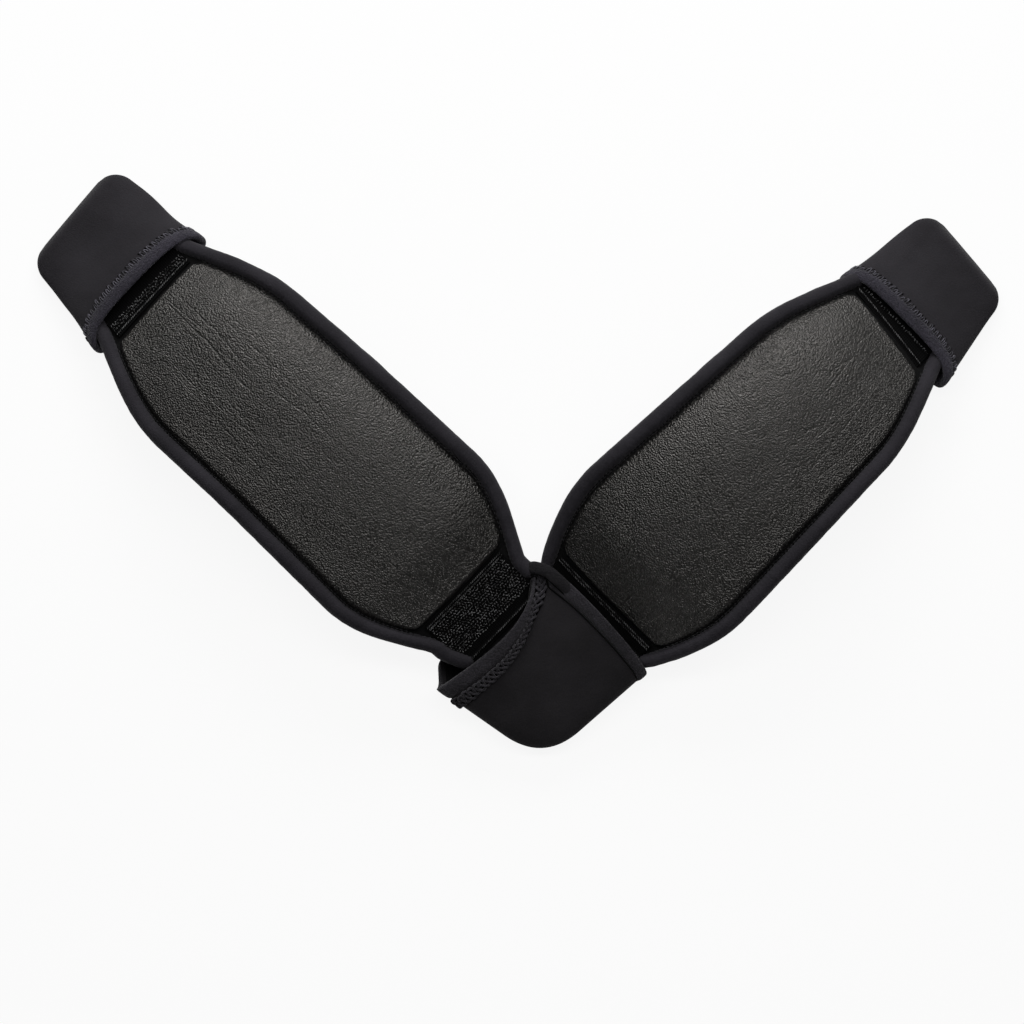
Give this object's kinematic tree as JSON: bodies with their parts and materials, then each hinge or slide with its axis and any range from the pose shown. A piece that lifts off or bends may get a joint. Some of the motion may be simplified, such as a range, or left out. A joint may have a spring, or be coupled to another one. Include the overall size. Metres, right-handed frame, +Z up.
{
  "type": "padded strap grips",
  "caption": "Arched, leather-faced padded straps joined in a V by a shared neoprene sleeve, with slip-on end sleeves over hook-and-loop ends and screw eyelets.",
  "frame": {"origin": "axis of the shared apex hole, on the plane that the sleeves rest on", "axes": "+Z up from the resting plane, +X from the left strap's side to the right strap's side, +Y into the opening of the V"},
  "size_m": [0.3987, 0.2365, 0.0379],
  "materials": {
    "leather": "pebble-grained black leather",
    "foam": "closed-cell foam",
    "lining": "brushed knit lining",
    "binding": "stretch binding tape over foam",
    "webbing": "woven nylon webbing",
    "loop_tape": "napped loop tape with woven edges",
    "hook_tape": "moulded hook tape",
    "eyelet": "stamped stainless eyelet",
    "neoprene": "knit-faced neoprene",
    "hem": "folded neoprene hem with zigzag stitching"
  },
  "bodies": {
    "right_strap": {"right_leather_face": "leather", "right_foam_core": "foam", "right_lining": "lining", "right_inner_binding": "binding", "right_outer_binding": "binding", "right_inner_band": "webbing", "right_apex_loop_tape": "loop_tape", "right_end_loop_tape": "loop_tape", "right_apex_eyelet": "eyelet", "right_end_eyelet": "eyelet", "apex_sleeve": "neoprene", "apex_left_hem": "hem", "apex_right_hem": "hem", "apex_hook_tape": "hook_tape"},
    "left_strap": {"left_leather_face": "leather", "left_foam_core": "foam", "left_lining": "lining", "left_inner_binding": "binding", "left_outer_binding": "binding", "left_inner_band": "webbing", "left_apex_loop_tape": "loop_tape", "left_end_loop_tape": "loop_tape", "left_apex_eyelet": "eyelet", "left_end_eyelet": "eyelet"},
    "left_end_cover": {"left_end_sleeve": "neoprene", "left_end_hem": "hem", "left_end_hook_tape": "hook_tape"},
    "right_end_cover": {"right_end_sleeve": "neoprene", "right_end_hem": "hem", "right_end_hook_tape": "hook_tape"}
  },
  "joints": [
    {"name": "left_strap_pivot", "type": "hinge", "parent": "right_strap", "child": "left_strap", "pos_m": [0, 0, 0.0021], "axis": [0, 0, 1], "range_deg": [0, 6]},
    {"name": "left_cover_slide", "type": "slide", "parent": "left_strap", "child": "left_end_cover", "axis": [-0.7218, 0.6921, 0], "range_m": [0, 0.05]},
    {"name": "right_cover_slide", "type": "slide", "parent": "right_strap", "child": "right_end_cover", "axis": [0.7145, 0.6997, 0], "range_m": [0, 0.05]}
  ]
}
